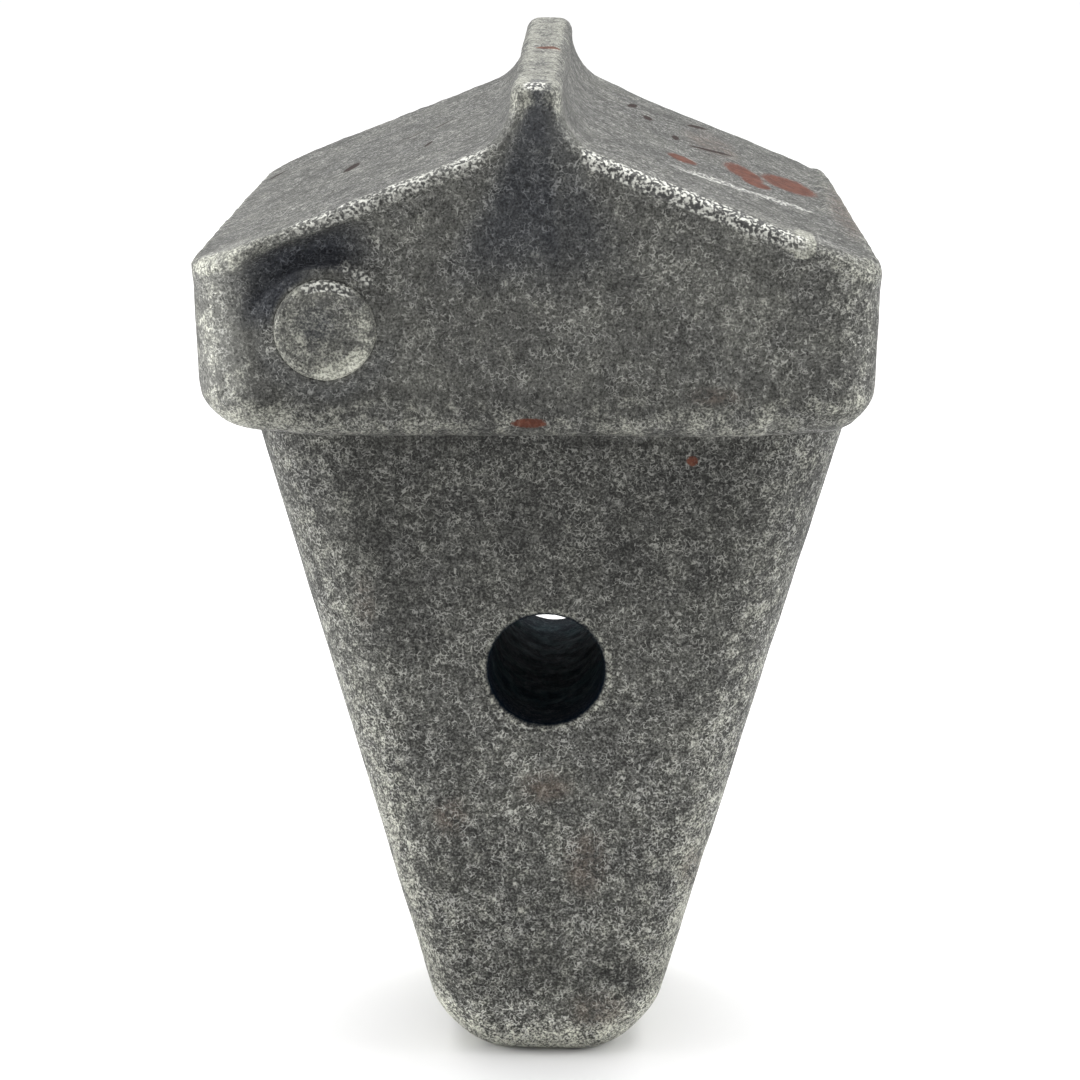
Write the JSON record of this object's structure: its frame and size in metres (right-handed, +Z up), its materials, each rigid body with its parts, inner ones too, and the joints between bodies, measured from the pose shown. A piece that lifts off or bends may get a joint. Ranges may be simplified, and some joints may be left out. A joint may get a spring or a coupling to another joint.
{
  "type": "bucket tooth weld-on nose",
  "caption": "Forged steel nose that is welded to a digger bucket's edge and carries its tooth: a wedge with a cross pin hole under a block with a double weld bevel.",
  "frame": {"origin": "middle of the flat tip face that the nose stands on, on the nose's centre line", "axes": "+Z up from the tip to the weld ridge; Y along the cross pin hole, with the side that carries the stud at -Y; X across the wedge"},
  "size_m": [0.1022, 0.0894, 0.1553],
  "materials": {
    "forged_steel": "shot-blasted dark grey forged steel, matte, with paler worn edges and a few rust-red scale marks",
    "stud_steel": "shot-blasted grey steel, dished, brighter on its rim"
  },
  "bodies": {
    "root": {"nose_body": "forged_steel", "side_stud": "stud_steel"}
  },
  "joints": []
}
